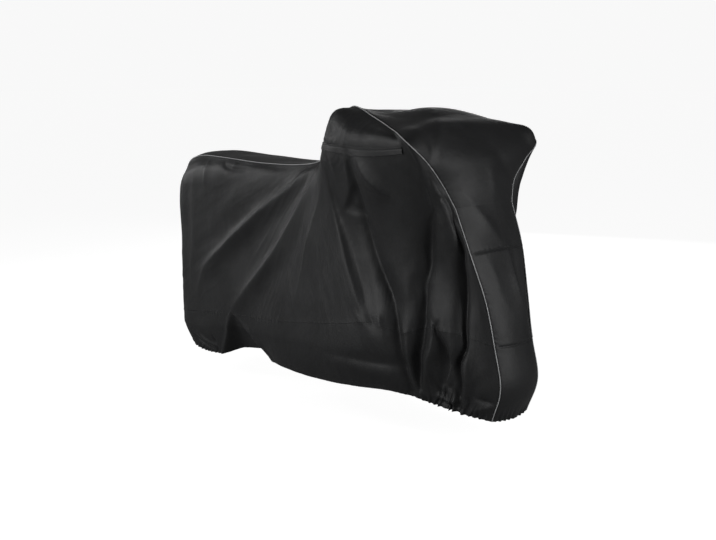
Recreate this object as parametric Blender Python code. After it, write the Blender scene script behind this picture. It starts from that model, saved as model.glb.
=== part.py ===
"""Fitted motorcycle cover, as it hangs over a motorcycle that is left out.

Frame: +X to the front of the motorcycle, +Y to its left, +Z up, metres. The origin is the point where
the cover rests on the saddle, on the centre plane. The tables give heights from the ground, and
SADDLE_Z takes them to the origin.

The cloth is one skin, laid out as a boat is: sections run down each side from the piping to the hem,
and a centre strip bridges the two pipings from the front hem, over the screen and the seat, to the
rear hem. Folds are rows of a table. The skin is then cut into its sewn panels, each a closed sheet.
"""

import bpy
import math
import numpy as np

SADDLE_X = -0.10
SADDLE_Z = 1.016

CLOTH_T = 0.002
SEAM_GAP = 0.0004
PIPING_R = 0.0018
PIPING_GAP = 0.0004
PIPING_BEVEL_RESOLUTION = 1

# The bars and the screen sit a little lower on the left, towards the side stand.
BAR_TILT = math.radians(2.0)
TILT_FROM_Z, TILT_TO_Z = 0.85, 1.15

# Segments between two sections, and between two levels of a section above and below the skirt seam.
PER_SECTION, PER_SIDE_LEVEL, PER_SKIRT_LEVEL = 3, 4, 3
ACROSS_STRIP = 6

# Levels of a section, from the top: piping, shoulder, knee, skirt seam, calf, hem.
SKIRT_SEAM_LEVEL, HEM_LEVEL = 3, 5

# name of section, then (x, half width, height) of its six levels
SECTIONS = (
    ("front piping", (0.750, 0.170, 0.900), (0.815, 0.158, 0.735), (0.868, 0.130, 0.560),
     (0.902, 0.117, 0.395), (0.933, 0.116, 0.240), (0.890, 0.108, 0.105)),
    ("headlamp", (0.728, 0.215, 0.985), (0.775, 0.185, 0.800), (0.800, 0.150, 0.600),
     (0.845, 0.145, 0.415), (0.870, 0.140, 0.240), (0.835, 0.118, 0.108)),
    ("lamp corner", (0.722, 0.290, 1.062), (0.725, 0.235, 0.880), (0.730, 0.175, 0.640),
     (0.775, 0.170, 0.430), (0.790, 0.155, 0.250), (0.760, 0.128, 0.112)),
    ("mirror tip", (0.698, 0.378, 1.134), (0.690, 0.315, 1.030), (0.660, 0.210, 0.720),
     (0.700, 0.195, 0.435), (0.710, 0.165, 0.260), (0.690, 0.132, 0.118)),
    ("mirror", (0.598, 0.338, 1.172), (0.610, 0.358, 1.100), (0.585, 0.235, 0.780),
     (0.620, 0.215, 0.425), (0.630, 0.180, 0.260), (0.620, 0.138, 0.125)),
    ("fork", (0.466, 0.285, 1.210), (0.460, 0.360, 1.120), (0.460, 0.255, 0.800),
     (0.520, 0.235, 0.405), (0.540, 0.200, 0.260), (0.550, 0.155, 0.140)),
    ("bar", (0.330, 0.242, 1.240), (0.325, 0.350, 1.130), (0.340, 0.265, 0.820),
     (0.400, 0.260, 0.430), (0.420, 0.240, 0.280), (0.440, 0.200, 0.157)),
    ("bar end", (0.250, 0.215, 1.236), (0.222, 0.322, 1.130), (0.240, 0.270, 0.820),
     (0.270, 0.270, 0.410), (0.290, 0.260, 0.270), (0.300, 0.225, 0.150)),
    ("tank", (0.155, 0.190, 1.120), (0.170, 0.293, 1.060), (0.150, 0.262, 0.820),
     (0.140, 0.265, 0.390), (0.140, 0.260, 0.260), (0.140, 0.225, 0.139)),
    ("tank rear", (0.060, 0.180, 1.040), (0.050, 0.215, 0.970), (0.030, 0.240, 0.780),
     (0.000, 0.255, 0.370), (-0.010, 0.250, 0.250), (-0.010, 0.222, 0.137)),
    ("rider seat", (-0.100, 0.160, 1.010), (-0.110, 0.188, 0.935), (-0.130, 0.210, 0.730),
     (-0.170, 0.235, 0.345), (-0.170, 0.230, 0.240), (-0.170, 0.210, 0.142)),
    ("seat", (-0.350, 0.150, 1.003), (-0.350, 0.182, 0.930), (-0.360, 0.185, 0.680),
     (-0.360, 0.200, 0.325), (-0.350, 0.190, 0.230), (-0.340, 0.150, 0.140)),
    ("pillion seat", (-0.600, 0.145, 1.011), (-0.600, 0.180, 0.930), (-0.600, 0.170, 0.650),
     (-0.580, 0.175, 0.305), (-0.570, 0.150, 0.210), (-0.550, 0.115, 0.115)),
    ("grab rail", (-0.800, 0.115, 1.010), (-0.820, 0.165, 0.910), (-0.810, 0.160, 0.640),
     (-0.790, 0.155, 0.285), (-0.780, 0.150, 0.190), (-0.750, 0.125, 0.088)),
    ("tail", (-0.935, 0.088, 0.980), (-0.960, 0.135, 0.860), (-0.955, 0.136, 0.620),
     (-0.942, 0.142, 0.265), (-0.930, 0.142, 0.190), (-0.890, 0.122, 0.100)),
    ("rear piping", (-1.010, 0.070, 0.900), (-1.036, 0.070, 0.780), (-1.030, 0.068, 0.580),
     (-1.018, 0.072, 0.255), (-1.008, 0.072, 0.200), (-0.972, 0.068, 0.128)),
)

# How far the centre line of the strip stands off the chord between the pipings: name, x, z,
# fullness on the right, fullness on the left.
# The rows go up the front from the hem, over the top, and down the rear. A full row is flat in the
# middle and turns down near the pipings.
CROWNS = (
    ("front hem", 0.020, -0.005, 2.0, 2.0),
    ("tyre", 0.028, 0.000, 2.2, 2.2),
    ("front seam", 0.032, 0.000, 2.5, 2.5),
    ("mudguard", 0.030, 0.003, 2.5, 2.5),
    ("hood seam", 0.025, 0.010, 2.5, 2.5),
    ("lamp", 0.040, 0.010, 2.2, 2.2),
    ("lamp top", 0.052, 0.010, 2.2, 2.2),
    ("nose", 0.034, 0.030, 2.2, 3.0),
    ("mirror tips", -0.028, 0.058, 2.4, 9.0),
    ("mirrors", -0.006, 0.056, 2.2, 4.5),
    ("screen top", 0.034, 0.048, 2.0, 2.0),
    ("screen rear", 0.020, 0.000, 2.0, 2.0),
    ("bars", 0.010, 0.000, 2.0, 2.0),
    ("tank top", 0.000, 0.010, 2.0, 2.0),
    ("tank end", 0.000, 0.008, 2.0, 2.0),
    ("rider", 0.000, 0.008, 2.0, 2.0),
    ("seat", 0.000, 0.013, 2.0, 2.0),
    ("pillion", 0.000, 0.017, 2.0, 2.0),
    ("rail", -0.005, 0.020, 2.0, 2.0),
    ("tail", -0.015, 0.015, 2.0, 2.0),
    ("tail end", -0.020, 0.008, 2.0, 2.0),
    ("rear lamp", -0.020, 0.000, 2.0, 2.0),
    ("rear plate", -0.020, 0.000, 2.0, 2.0),
    ("rear seam", -0.020, 0.000, 2.0, 2.0),
    ("rear calf", -0.020, 0.000, 2.0, 2.0),
    ("rear hem", -0.018, 0.000, 2.0, 2.0),
)

# What bears on the cloth from inside, or lets it sink: name, side (-1 right, 1 left, 0 both), centre
# x, y and z, reach along x, y and z, and how far out the cloth goes there.
BUMPS = (
    ("right grip", -1, 0.290, 0.285, 1.215, 0.070, 0.060, 0.050, 0.034),
    ("left grip", 1, 0.300, 0.285, 1.215, 0.075, 0.070, 0.060, 0.012),
    ("right mirror", -1, 0.670, 0.310, 1.170, 0.070, 0.050, 0.080, 0.010),
    ("left mirror", 1, 0.690, 0.345, 1.165, 0.055, 0.045, 0.050, 0.022),
    ("right grip heel", -1, 0.225, 0.255, 1.210, 0.050, 0.060, 0.050, 0.018),
    ("gap beside the screen", -1, 0.380, 0.120, 1.240, 0.060, 0.060, 0.080, -0.012),
)

# Folds down the sides: name, start x and z, middle x and z, end x and z, half width at the start and
# at the end, and how far out the fold stands (minus for a trough).
RIGHT_FOLDS = (
    ("seat crease", -0.03, 1.005, -0.33, 0.790, -0.71, 0.524, 0.018, 0.030, 0.018),
    ("under seat crease", 0.00, 0.940, -0.29, 0.715, -0.64, 0.440, 0.025, 0.050, -0.016),
    ("tank crease", 0.11, 1.000, -0.20, 0.626, -0.52, 0.345, 0.018, 0.025, 0.016),
    ("under tank crease", 0.09, 0.900, -0.12, 0.560, -0.40, 0.300, 0.020, 0.040, -0.014),
    ("tank side crease", 0.08, 0.900, 0.02, 0.676, -0.04, 0.437, 0.018, 0.020, 0.006),
    ("tank trough", 0.22, 1.030, 0.25, 0.850, 0.37, 0.440, 0.020, 0.045, -0.022),
    ("flap valley", 0.37, 1.060, 0.40, 0.760, 0.53, 0.250, 0.018, 0.024, -0.022),
    ("flap valley lip", 0.42, 1.040, 0.45, 0.760, 0.58, 0.270, 0.020, 0.026, 0.012),
    ("elbow dimple", 0.45, 1.050, 0.50, 1.000, 0.55, 0.940, 0.018, 0.020, -0.010),
    ("fork trough", 0.72, 0.960, 0.61, 0.700, 0.60, 0.180, 0.024, 0.042, -0.034),
    ("fork ridge", 0.73, 0.900, 0.70, 0.700, 0.68, 0.420, 0.022, 0.030, 0.012),
    ("piping trough", 0.76, 0.860, 0.76, 0.620, 0.78, 0.230, 0.018, 0.024, -0.024),
    ("skirt wedge", 0.67, 0.430, 0.70, 0.360, 0.72, 0.270, 0.020, 0.022, -0.012),
    ("belly dip", 0.16, 0.265, 0.36, 0.262, 0.53, 0.255, 0.020, 0.024, -0.014),
    ("belly roll", 0.19, 0.235, 0.36, 0.215, 0.51, 0.200, 0.020, 0.022, 0.010),
    ("wheel recess", -0.52, 0.330, -0.50, 0.230, -0.50, 0.100, 0.022, 0.105, -0.050),
    ("recess lip", -0.48, 0.290, -0.40, 0.210, -0.32, 0.150, 0.018, 0.022, 0.014),
    ("seat dimple", -0.56, 0.960, -0.45, 0.952, -0.33, 0.957, 0.018, 0.018, -0.012),
    ("tail hollow", -0.89, 0.850, -0.90, 0.600, -0.90, 0.380, 0.025, 0.030, -0.007),
)
LEFT_FOLDS = (
    ("seat crease", -0.05, 0.990, -0.28, 0.700, -0.55, 0.380, 0.020, 0.032, 0.017),
    ("under seat crease", 0.00, 0.900, -0.18, 0.640, -0.44, 0.330, 0.025, 0.045, -0.016),
    ("tank trough", 0.20, 1.020, 0.20, 0.800, 0.28, 0.400, 0.022, 0.040, -0.020),
    ("tank lip", 0.28, 1.000, 0.29, 0.780, 0.36, 0.420, 0.022, 0.030, 0.011),
    ("flap valley", 0.43, 1.040, 0.46, 0.720, 0.50, 0.220, 0.020, 0.028, -0.020),
    ("fork trough", 0.70, 0.940, 0.63, 0.680, 0.64, 0.200, 0.024, 0.040, -0.030),
    ("piping trough", 0.77, 0.820, 0.77, 0.600, 0.80, 0.260, 0.018, 0.024, -0.018),
    ("belly dip", 0.02, 0.270, 0.20, 0.262, 0.38, 0.270, 0.020, 0.026, -0.013),
    ("wheel recess", -0.50, 0.310, -0.49, 0.210, -0.49, 0.100, 0.024, 0.095, -0.044),
    ("tail hollow", -0.88, 0.820, -0.90, 0.600, -0.89, 0.360, 0.025, 0.032, -0.008),
)

# Folds on the centre strip: name, start x, y and z, end x, y and z, half width, how far out.
STRIP_FOLDS = (
    ("screen ridge", 0.53, -0.020, 1.250, 0.71, -0.200, 1.110, 0.050, 0.012),
    ("lamp crease", 0.76, -0.110, 0.960, 0.83, -0.010, 0.780, 0.030, 0.006),
    ("mudguard crease", 0.85, 0.035, 0.710, 0.91, 0.060, 0.470, 0.028, 0.006),
    ("mudguard hollow", 0.84, 0.085, 0.700, 0.89, 0.095, 0.450, 0.025, -0.012),
    ("seat dip", -0.16, 0.010, 1.015, -0.26, -0.030, 1.012, 0.040, -0.006),
    ("pillion dip", -0.50, 0.040, 1.025, -0.58, -0.010, 1.030, 0.040, -0.006),
)

# The vent flap hangs across the shoulder: name, x, height of its sewn edge and of its free edge.
FLAP_ROWS = (
    ("rear end", 0.205, 1.117, 1.089),
    ("rear sag", 0.320, 1.113, 1.080),
    ("middle", 0.440, 1.109, 1.075),
    ("front sag", 0.560, 1.113, 1.082),
    ("front end", 0.655, 1.121, 1.094),
)
FLAP_STAND_OFF_SEWN, FLAP_STAND_OFF_FREE = 0.0026, 0.0080
FLAP_STEPS_LONG, FLAP_STEPS_DEEP = 14, 2
# The flap's base is looked up on the side above this level, on steps this many times finer, among
# points that face sideways at least this much.
FLAP_SEARCH_LEVELS, FLAP_SEARCH_STEPS = 2, 12
MIN_FACING = 0.35

# Rows of CROWNS on which the seams across the strip lie.
HOOD_SEAM_ROW, FRONT_SEAM_ROW, REAR_SEAM_ROW = 4, 2, 23

# Points along a fold's path, the share of it over which each end dies out, and the sections and
# levels over which folds die out beside the piping.
FOLD_SAMPLES = 49
FOLD_FADE = 0.14
FADE_SECTIONS, FADE_LEVELS = 0.7, 0.5


def catmull(rows, t):
    """Smooth curve through the rows, at positions t counted in rows."""
    rows = np.asarray(rows, float)
    ends = np.concatenate([[2 * rows[0] - rows[1]], rows, [2 * rows[-1] - rows[-2]]])
    i = np.clip(np.floor(t).astype(int), 0, len(rows) - 2)
    f = (np.asarray(t) - i).reshape((-1,) + (1,) * (rows.ndim - 1))
    a, b, c, d = ends[i], ends[i + 1], ends[i + 2], ends[i + 3]
    return b + 0.5 * f * (c - a + f * (2 * a - 5 * b + 4 * c - d + f * (3 * (b - c) + d - a)))


def push_bumps(points, normals):
    """Moves the skin along its normals by the rows of BUMPS."""
    out = np.zeros(len(points))
    for name, hand, x, y, z, reach_x, reach_y, reach_z, height in BUMPS:
        for side in (-1, 1):
            if hand in (0, side):
                away = ((points[:, 0] - x) / reach_x) ** 2 + ((points[:, 1] - side * y) / reach_y) ** 2
                out += height * np.exp(-away - ((points[:, 2] - z) / reach_z) ** 2)
    return points + out[:, None] * normals


def smooth_step(value, low, high):
    f = np.clip((value - low) / (high - low), 0, 1)
    return f * f * (3 - 2 * f)


def tilt_bars(points):
    """Turns the upper part about the X axis, so that the left of the bars is the lower."""
    angle = BAR_TILT * smooth_step(points[..., 2], TILT_FROM_Z, TILT_TO_Z)
    up = points[..., 2] - TILT_TO_Z
    turned = points.copy()
    turned[..., 1] = points[..., 1] * np.cos(angle) + up * np.sin(angle)
    turned[..., 2] = TILT_TO_Z + up * np.cos(angle) - points[..., 1] * np.sin(angle)
    return turned


def side_of(u, v, hand):
    """Points of one side: u counts sections from the front, v levels from the top; hand -1 is right."""
    rows = np.array([[level for level in section[1:]] for section in SECTIONS])
    points = np.swapaxes(catmull(np.swapaxes(catmull(rows, u), 0, 1), v), 0, 1)
    points[..., 1] *= hand
    return points


def strip_of(right_edge, left_edge, q, across):
    """Points of the centre strip between its two edges; q counts the rows of CROWNS."""
    crown = catmull([row[1:] for row in CROWNS], q)
    full = np.where(across[:, None] < 0, crown[None, :, 2], crown[None, :, 3])
    rise = 1 - np.abs(across)[:, None] ** full
    share = (across[:, None, None] + 1) / 2
    points = right_edge[None] * (1 - share) + left_edge[None] * share
    points[..., 0] += rise * crown[None, :, 0]
    points[..., 2] += rise * crown[None, :, 1]
    return points


def build_skin():
    """The whole skin as one set of points, with the index grids of its three patches."""
    u = np.linspace(0, len(SECTIONS) - 1, (len(SECTIONS) - 1) * PER_SECTION + 1)
    v_side = np.linspace(0, SKIRT_SEAM_LEVEL, SKIRT_SEAM_LEVEL * PER_SIDE_LEVEL + 1)
    skirt_levels = HEM_LEVEL - SKIRT_SEAM_LEVEL
    v_skirt = np.linspace(SKIRT_SEAM_LEVEL, HEM_LEVEL, skirt_levels * PER_SKIRT_LEVEL + 1)
    v = np.concatenate([v_side, v_skirt[1:]])
    right, left = side_of(u, v, -1), side_of(u, v, 1)
    count = len(u) * len(v)
    right_ids = np.arange(count).reshape(len(u), len(v))
    left_ids = right_ids + count

    # The strip's edge runs up the first section, along the top level and down the last section.
    def edge(grid):
        return np.concatenate([grid[0, ::-1], grid[1:, 0], grid[-1, 1:]])

    q = np.concatenate([HEM_LEVEL - v[::-1], HEM_LEVEL + u[1:], HEM_LEVEL + u[-1] + v[1:]])
    across = np.sin(np.linspace(-math.pi / 2, math.pi / 2, ACROSS_STRIP + 1))
    strip = strip_of(edge(right), edge(left), q, across)
    inner = np.arange((ACROSS_STRIP - 1) * len(q)).reshape(ACROSS_STRIP - 1, len(q)) + 2 * count
    strip_ids = np.concatenate([edge(right_ids)[None], inner, edge(left_ids)[None]])
    points = np.concatenate([right.reshape(-1, 3), left.reshape(-1, 3), strip[1:-1].reshape(-1, 3)])
    return points, {"right": right_ids, "left": left_ids.T, "strip": strip_ids}, q


def skin_normals(points, patches):
    """Outward normals, shared along the seams."""
    normals = np.zeros_like(points)
    for ids in patches.values():
        a, b, c, d = ids[:-1, :-1], ids[1:, :-1], ids[1:, 1:], ids[:-1, 1:]
        face = np.cross(points[c] - points[a], points[d] - points[b])
        for corner in (a, b, c, d):
            np.add.at(normals, corner, face)
    return normals / np.linalg.norm(normals, axis=1)[:, None]


def fold_height(across, width, out):
    return out * np.exp(-((across / width) ** 2))


def side_fold_heights(points, folds):
    """How far each point of a side is moved out by the folds of its table."""
    flat = points[:, [0, 2]]
    total = np.zeros(len(points))
    for name, x0, z0, x1, z1, x2, z2, width0, width1, out in folds:
        t = np.linspace(0, 1, FOLD_SAMPLES)
        path = catmull([(x0, z0), (x1, z1), (x2, z2)], 2 * t)
        away = np.linalg.norm(flat[:, None] - path[None], axis=2)
        nearest = away.argmin(axis=1)
        along = t[nearest]
        ends = smooth_step(along, 0, FOLD_FADE) * (1 - smooth_step(along, 1 - FOLD_FADE, 1))
        width = width0 + (width1 - width0) * along
        total += ends * fold_height(away.min(axis=1), width, out)
    return total


def strip_fold_heights(points):
    total = np.zeros(len(points))
    for name, x0, y0, z0, x1, y1, z1, width, out in STRIP_FOLDS:
        start, run = np.array((x0, y0, z0)), np.array((x1 - x0, y1 - y0, z1 - z0))
        along = np.clip((points - start) @ run / (run @ run), 0, 1)
        away = np.linalg.norm(points - start - along[:, None] * run, axis=1)
        total += fold_height(away, width, out)
    return total


def fold_skin(points, patches, normals):
    """Moves each patch along its normals by its folds, which die out at the pipings."""
    out = np.zeros(len(points))
    for name, ids, folds in (("right", patches["right"], RIGHT_FOLDS), ("left", patches["left"].T, LEFT_FOLDS)):
        rows = np.arange(ids.shape[0]) / PER_SECTION
        from_ends = np.minimum(rows, rows[-1] - rows)
        from_top = np.arange(ids.shape[1]) / PER_SIDE_LEVEL
        keep = smooth_step(from_ends[:, None], 0, FADE_SECTIONS) * smooth_step(from_top[None], 0, FADE_LEVELS)
        heights = side_fold_heights(points[ids.ravel()], folds).reshape(ids.shape)
        out[ids] = heights * keep
    inner = patches["strip"][1:-1]
    out[inner] = strip_fold_heights(points[inner.ravel()]).reshape(inner.shape)
    return points + out[:, None] * normals


# ---- objects


def shape_skin():
    """The skin as it hangs: its smooth form, what bears on it and its folds, before the bars tilt."""
    points, patches, q = build_skin()
    points = push_bumps(points, skin_normals(points, patches))
    return fold_skin(points, patches, skin_normals(points, patches)), patches, q


def to_origin(points):
    return points - np.array((SADDLE_X, 0.0, SADDLE_Z))


def closed_sheet(outer, inner):
    """Vertices and faces of the closed sheet between two grids of points, the first one outside."""
    rows, cols = outer.shape[:2]
    top = np.arange(rows * cols).reshape(rows, cols)
    low = top + rows * cols
    faces = []
    for i in range(rows - 1):
        for j in range(cols - 1):
            faces.append((top[i, j], top[i + 1, j], top[i + 1, j + 1], top[i, j + 1]))
            faces.append((low[i, j], low[i, j + 1], low[i + 1, j + 1], low[i + 1, j]))
    rim = [(i, 0) for i in range(rows)] + [(rows - 1, j) for j in range(1, cols)]
    rim += [(i, cols - 1) for i in range(rows - 2, -1, -1)] + [(0, j) for j in range(cols - 2, 0, -1)]
    for here, there in zip(rim, rim[1:] + rim[:1]):
        faces.append((top[here], low[here], low[there], top[there]))
    points = np.concatenate([outer.reshape(-1, 3), inner.reshape(-1, 3)])
    return points, [tuple(int(k) for k in face) for face in faces]


def pull_back(grid, sewn):
    """Draws the sewn borders of a grid back by half the seam gap, along the sheet."""
    moved = grid.copy()
    borders = {
        "first row": (np.s_[0, :], np.s_[1, :]),
        "last row": (np.s_[-1, :], np.s_[-2, :]),
        "first column": (np.s_[:, 0], np.s_[:, 1]),
        "last column": (np.s_[:, -1], np.s_[:, -2]),
    }
    for border in sewn:
        edge, inside = borders[border]
        inward = grid[inside] - grid[edge]
        along = np.gradient(grid[edge], axis=0)
        along /= np.linalg.norm(along, axis=1)[:, None]
        square = inward - (inward * along).sum(axis=1)[:, None] * along
        square_length = np.linalg.norm(square, axis=1)
        moved[edge] += SEAM_GAP / 2 * inward / square_length[:, None]
    return moved


def add_material(name, colour, roughness, metallic):
    material = bpy.data.materials.new(name)
    material.use_nodes = True
    shader = material.node_tree.nodes["Principled BSDF"]
    shader.inputs["Base Color"].default_value = colour
    shader.inputs["Roughness"].default_value = roughness
    shader.inputs["Metallic"].default_value = metallic
    material.diffuse_color = colour
    return material


def add_mesh(name, points, faces, material):
    mesh = bpy.data.meshes.new(name)
    mesh.from_pydata(to_origin(points).tolist(), [], faces)
    mesh.polygons.foreach_set("use_smooth", [True] * len(mesh.polygons))
    mesh.materials.append(material)
    mesh.update()
    part = bpy.data.objects.new(name, mesh)
    bpy.context.collection.objects.link(part)
    return part


def add_panel(name, ids, sewn, points, normals, material):
    outer = pull_back(points[ids], sewn)
    inner = pull_back(points[ids] - CLOTH_T * normals[ids], sewn)
    add_mesh(name, *closed_sheet(outer, inner), material)


def add_piping(name, ids, points, normals, material):
    path = to_origin(points[ids] + (PIPING_R + PIPING_GAP) * normals[ids])
    curve = bpy.data.curves.new(name, "CURVE")
    curve.dimensions = "3D"
    curve.bevel_depth = PIPING_R
    curve.bevel_resolution = PIPING_BEVEL_RESOLUTION
    curve.use_fill_caps = True
    spline = curve.splines.new("POLY")
    spline.points.add(len(path) - 1)
    spline.points.foreach_set("co", np.column_stack([path, np.ones(len(path))]).ravel())
    curve.materials.append(material)
    part = bpy.data.objects.new(name, curve)
    bpy.context.collection.objects.link(part)


def finer(grid, times):
    """The grid with straight steps put in between its rows and its columns."""
    for axis in (0, 1):
        count = grid.shape[axis]
        places = np.linspace(0, count - 1, (count - 1) * times + 1)
        low = np.minimum(places.astype(int), count - 2)
        share = (places - low).reshape((-1, 1, 1) if axis == 0 else (1, -1, 1))
        grid = np.take(grid, low, axis) * (1 - share) + np.take(grid, low + 1, axis) * share
    return grid


def flap_base(hand, side, side_normals):
    """Grid of points and normals on the shoulder of one side, under its vent flap."""
    steps = np.linspace(0, len(FLAP_ROWS) - 1, FLAP_STEPS_LONG + 1)
    rows = catmull([row[1:] for row in FLAP_ROWS], steps)
    side, side_normals = finer(side, FLAP_SEARCH_STEPS), finer(side_normals, FLAP_SEARCH_STEPS)
    points = np.zeros((FLAP_STEPS_LONG + 1, FLAP_STEPS_DEEP + 1, 3))
    normals = np.zeros_like(points)
    for i, (x, sewn_z, free_z) in enumerate(rows):
        for j, share in enumerate(np.linspace(0, 1, FLAP_STEPS_DEEP + 1)):
            target = np.array((x, sewn_z + share * (free_z - sewn_z)))
            away = ((side[..., [0, 2]] - target) ** 2).sum(axis=2)
            away[side_normals[..., 1] * hand < MIN_FACING] = np.inf
            k = np.unravel_index(away.argmin(), away.shape)
            points[i, j] = side[k]
            normals[i, j] = side_normals[k] / np.linalg.norm(side_normals[k])
            points[i, j, [0, 2]] = target
    return points, normals


def add_flap(name, hand, side, side_normals, material):
    base, normals = flap_base(hand, side, side_normals)
    share = np.linspace(0, 1, FLAP_STEPS_DEEP + 1)[None, :, None]
    lift = FLAP_STAND_OFF_SEWN + share * (FLAP_STAND_OFF_FREE - FLAP_STAND_OFF_SEWN)
    inner = tilt_bars(base + lift * normals)
    outer = tilt_bars(base + (lift + CLOTH_T) * normals)
    if hand < 0:
        outer, inner = np.swapaxes(outer, 0, 1), np.swapaxes(inner, 0, 1)
    add_mesh(name, *closed_sheet(outer, inner), material)


def main():
    for old in list(bpy.data.objects):
        bpy.data.objects.remove(old)
    cloth = add_material("black_polyester", (0.020, 0.021, 0.022, 1.0), 0.62, 0.0)
    reflective = add_material("reflective_piping", (0.62, 0.63, 0.64, 1.0), 0.35, 0.0)
    hung, patches, q = shape_skin()
    hung_normals = skin_normals(hung, patches)
    points = tilt_bars(hung)
    normals = skin_normals(points, patches)
    seam = SKIRT_SEAM_LEVEL * PER_SIDE_LEVEL
    right, left, strip = patches["right"], patches["left"], patches["strip"]

    sides = ("first row", "last row", "first column", "last column")
    add_panel("right_side_panel", right[:, :seam + 1], sides, points, normals, cloth)
    add_panel("right_skirt", right[:, seam:], ("first row", "last row", "first column"), points, normals, cloth)
    add_panel("left_side_panel", left[:seam + 1], sides, points, normals, cloth)
    add_panel("left_skirt", left[seam:], ("first column", "last column", "first row"), points, normals, cloth)

    front = int(np.argmin(np.abs(q - FRONT_SEAM_ROW)))
    hood = int(np.argmin(np.abs(q - HOOD_SEAM_ROW)))
    rear = int(np.argmin(np.abs(q - REAR_SEAM_ROW)))
    edges = ("first row", "last row")
    add_panel("front_skirt", strip[:, :front + 1], edges + ("last column",), points, normals, cloth)
    add_panel("mudguard_panel", strip[:, front:hood + 1], sides, points, normals, cloth)
    add_panel("hood_and_top_panel", strip[:, hood:rear + 1], sides, points, normals, cloth)
    add_panel("rear_skirt", strip[:, rear:], edges + ("first column",), points, normals, cloth)

    add_piping("right_piping", strip[0], points, normals, reflective)
    add_piping("left_piping", strip[-1], points, normals, reflective)
    shoulder = np.s_[:, :FLAP_SEARCH_LEVELS * PER_SIDE_LEVEL + 1]
    for name, hand, ids in (("right_vent_flap", -1, right), ("left_vent_flap", 1, left.T)):
        side = ids[shoulder]
        add_flap(name, hand, hung[side], hung_normals[side], cloth)


main()
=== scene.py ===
"""Fitted motorcycle cover of black coated polyester, as it hangs over a motorcycle that is left out.

Frame: +X to the front of the motorcycle, +Y to its left, +Z up, metres. The tables give x from the
middle of the motorcycle and heights from the ground, and SADDLE takes them to the origin, which is
the point where the cover rests on the saddle.

The cloth is one fine skin, laid out as its CAD solids are, with creases, gathers and seams pressed
into it, and then cut into its sewn panels. Piping, stitching and the two vent flaps are added.
"""

import math

import bpy
import numpy as np
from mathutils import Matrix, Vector


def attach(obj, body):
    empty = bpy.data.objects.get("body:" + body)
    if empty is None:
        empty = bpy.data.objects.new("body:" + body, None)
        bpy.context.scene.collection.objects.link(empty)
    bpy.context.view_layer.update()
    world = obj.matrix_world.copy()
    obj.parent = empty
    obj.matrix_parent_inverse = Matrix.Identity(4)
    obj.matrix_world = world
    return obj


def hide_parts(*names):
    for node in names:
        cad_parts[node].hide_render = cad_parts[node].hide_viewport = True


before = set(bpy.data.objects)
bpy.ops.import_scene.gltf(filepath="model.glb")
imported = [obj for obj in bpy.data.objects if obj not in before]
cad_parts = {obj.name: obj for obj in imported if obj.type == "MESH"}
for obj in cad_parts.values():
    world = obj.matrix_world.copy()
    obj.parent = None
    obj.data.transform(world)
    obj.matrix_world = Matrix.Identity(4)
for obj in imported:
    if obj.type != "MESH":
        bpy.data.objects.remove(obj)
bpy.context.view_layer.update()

SADDLE = np.array((-0.10, 0.0, 1.016))

# ---- the form of the cover, as its CAD solids have it

# The bars and the screen sit a little lower on the left, towards the side stand.
BAR_TILT = math.radians(2.0)
TILT_FROM_Z, TILT_TO_Z = 0.85, 1.15

# Levels of a section, from the top: piping, shoulder, knee, skirt seam, calf, hem.
SKIRT_SEAM_LEVEL, HEM_LEVEL = 3, 5

# The tables of sections and creases are in millimetres, all else in metres.
MM = 0.001

# Name of section, then (x, half width, height) of its six levels.
SECTIONS = (
    ("front piping", (750, 170, 900), (815, 158, 735), (868, 130, 560), (902, 117, 395), (933, 116, 240),
     (890, 108, 105)),
    ("headlamp", (728, 215, 985), (775, 185, 800), (800, 150, 600), (845, 145, 415), (870, 140, 240),
     (835, 118, 108)),
    ("lamp corner", (722, 290, 1062), (725, 235, 880), (730, 175, 640), (775, 170, 430), (790, 155, 250),
     (760, 128, 112)),
    ("mirror tip", (698, 378, 1134), (690, 315, 1030), (660, 210, 720), (700, 195, 435), (710, 165, 260),
     (690, 132, 118)),
    ("mirror", (598, 338, 1172), (610, 358, 1100), (585, 235, 780), (620, 215, 425), (630, 180, 260),
     (620, 138, 125)),
    ("fork", (466, 285, 1210), (460, 360, 1120), (460, 255, 800), (520, 235, 405), (540, 200, 260),
     (550, 155, 140)),
    ("bar", (330, 242, 1240), (325, 350, 1130), (340, 265, 820), (400, 260, 430), (420, 240, 280),
     (440, 200, 157)),
    ("bar end", (250, 215, 1236), (222, 322, 1130), (240, 270, 820), (270, 270, 410), (290, 260, 270),
     (300, 225, 150)),
    ("tank", (155, 190, 1120), (170, 293, 1060), (150, 262, 820), (140, 265, 390), (140, 260, 260),
     (140, 225, 139)),
    ("tank rear", (60, 180, 1040), (50, 215, 970), (30, 240, 780), (0, 255, 370), (-10, 250, 250),
     (-10, 222, 137)),
    ("rider seat", (-100, 160, 1010), (-110, 188, 935), (-130, 210, 730), (-170, 235, 345),
     (-170, 230, 240), (-170, 210, 142)),
    ("seat", (-350, 150, 1003), (-350, 182, 930), (-360, 185, 680), (-360, 200, 325), (-350, 190, 230),
     (-340, 150, 140)),
    ("pillion seat", (-600, 145, 1011), (-600, 180, 930), (-600, 170, 650), (-580, 175, 305),
     (-570, 150, 210), (-550, 115, 115)),
    ("grab rail", (-800, 115, 1010), (-820, 165, 910), (-810, 160, 640), (-790, 155, 285), (-780, 150, 190),
     (-750, 125, 88)),
    ("tail", (-935, 88, 980), (-960, 135, 860), (-955, 136, 620), (-942, 142, 265), (-930, 142, 190),
     (-890, 122, 100)),
    ("rear piping", (-1010, 70, 900), (-1036, 70, 780), (-1030, 68, 580), (-1018, 72, 255),
     (-1008, 72, 200), (-972, 68, 128)),
)
SECTION_POINTS = MM * np.array([section[1:] for section in SECTIONS])

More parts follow.
